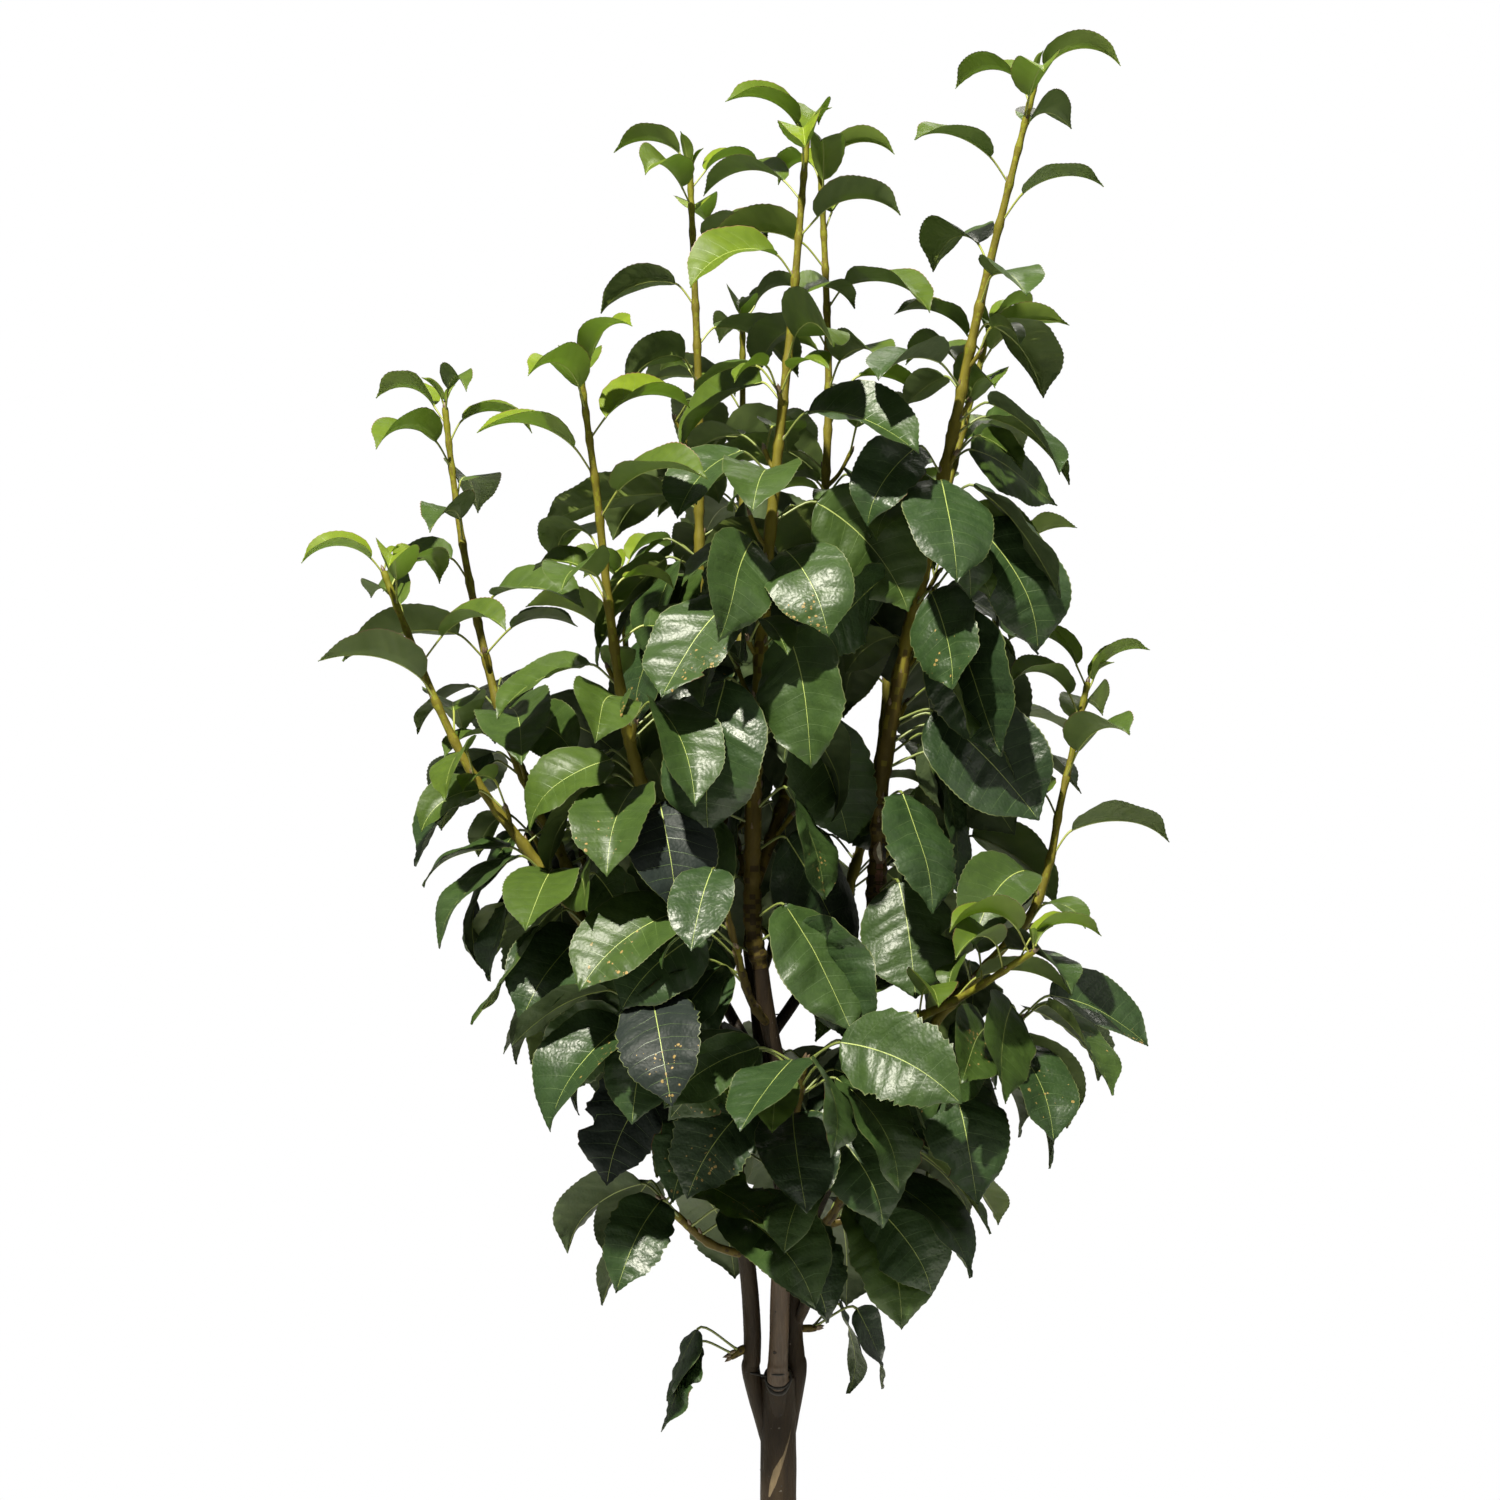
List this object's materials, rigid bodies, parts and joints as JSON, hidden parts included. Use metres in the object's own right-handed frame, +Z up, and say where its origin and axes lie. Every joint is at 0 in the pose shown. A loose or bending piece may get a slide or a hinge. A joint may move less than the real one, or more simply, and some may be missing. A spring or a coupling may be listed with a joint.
{
  "type": "potted pear tree",
  "caption": "Young multi-stemmed pear tree in full leaf, with tall upright shoots, standing in a plain round clay pot filled with soil",
  "frame": {"origin": "centre of the pot's flat underside, where it stands", "axes": "+Z up along the trunk; the tree's front, as pictured, faces -Y; +X is to the viewer's right"},
  "size_m": [0.6472, 0.496, 1.5555],
  "materials": {
    "clay": "matt fired clay",
    "soil": "dark crumbly potting soil",
    "bark": "smooth young bark, grey brown",
    "leaf": "glossy dark green leaves on olive shoots"
  },
  "bodies": {
    "root": {"pot": "clay", "soil": "soil", "trunk": "bark", "bough_left": "bark", "bough_leader": "bark", "bough_tall_right": "bark", "bough_outer_left": "bark", "bough_outer_right": "bark", "bough_spread_right": "bark", "bough_back": "bark", "bough_back_right": "bark", "bough_rear_left": "bark", "bough_rear_right": "bark", "leaves_left": "leaf", "leaves_leader": "leaf", "leaves_tall_right": "leaf", "leaves_outer_left": "leaf", "leaves_outer_right": "leaf", "leaves_spread_right": "leaf", "leaves_back": "leaf", "leaves_back_right": "leaf", "leaves_rear_left": "leaf", "leaves_rear_right": "leaf", "leaves_low_front": "leaf", "leaves_high_front": "leaf", "leaves_low_front_left": "leaf", "leaves_low_left": "leaf", "leaves_high_left": "leaf", "leaves_low_front_right": "leaf", "leaves_low_right": "leaf", "leaves_under_right": "leaf", "leaves_low_back_right": "leaf", "leaves_low_back": "leaf", "leaves_low_back_left": "leaf", "leaves_high_back": "leaf", "leaves_sprig_left": "leaf", "leaves_sprig_right": "leaf"}
  },
  "joints": []
}
